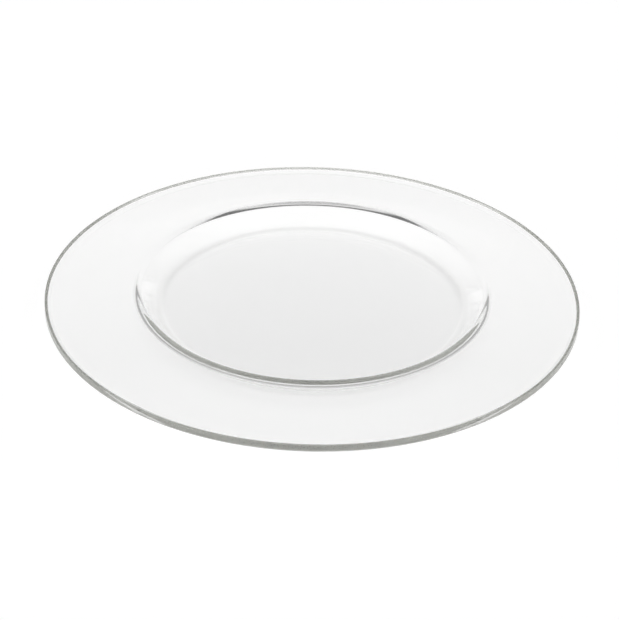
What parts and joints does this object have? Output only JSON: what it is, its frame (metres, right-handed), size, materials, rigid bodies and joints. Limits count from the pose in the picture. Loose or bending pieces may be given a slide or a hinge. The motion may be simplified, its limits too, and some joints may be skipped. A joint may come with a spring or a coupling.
{
  "type": "charger plate",
  "caption": "Round clear glass charger plate with a wide level rim, a low lip along its edge, a short sloped side and a flat floor that a dinner plate stands on.",
  "frame": {"origin": "centre of the underside, on the surface that the plate stands on", "axes": "+Z is the plate's axis, upwards; X and Y are level and any direction of them is alike"},
  "size_m": [0.33, 0.33, 0.0207],
  "materials": {
    "clear_glass": "fire-polished, clear and colourless"
  },
  "bodies": {
    "root": {"glass_plate": "clear_glass"}
  },
  "joints": []
}
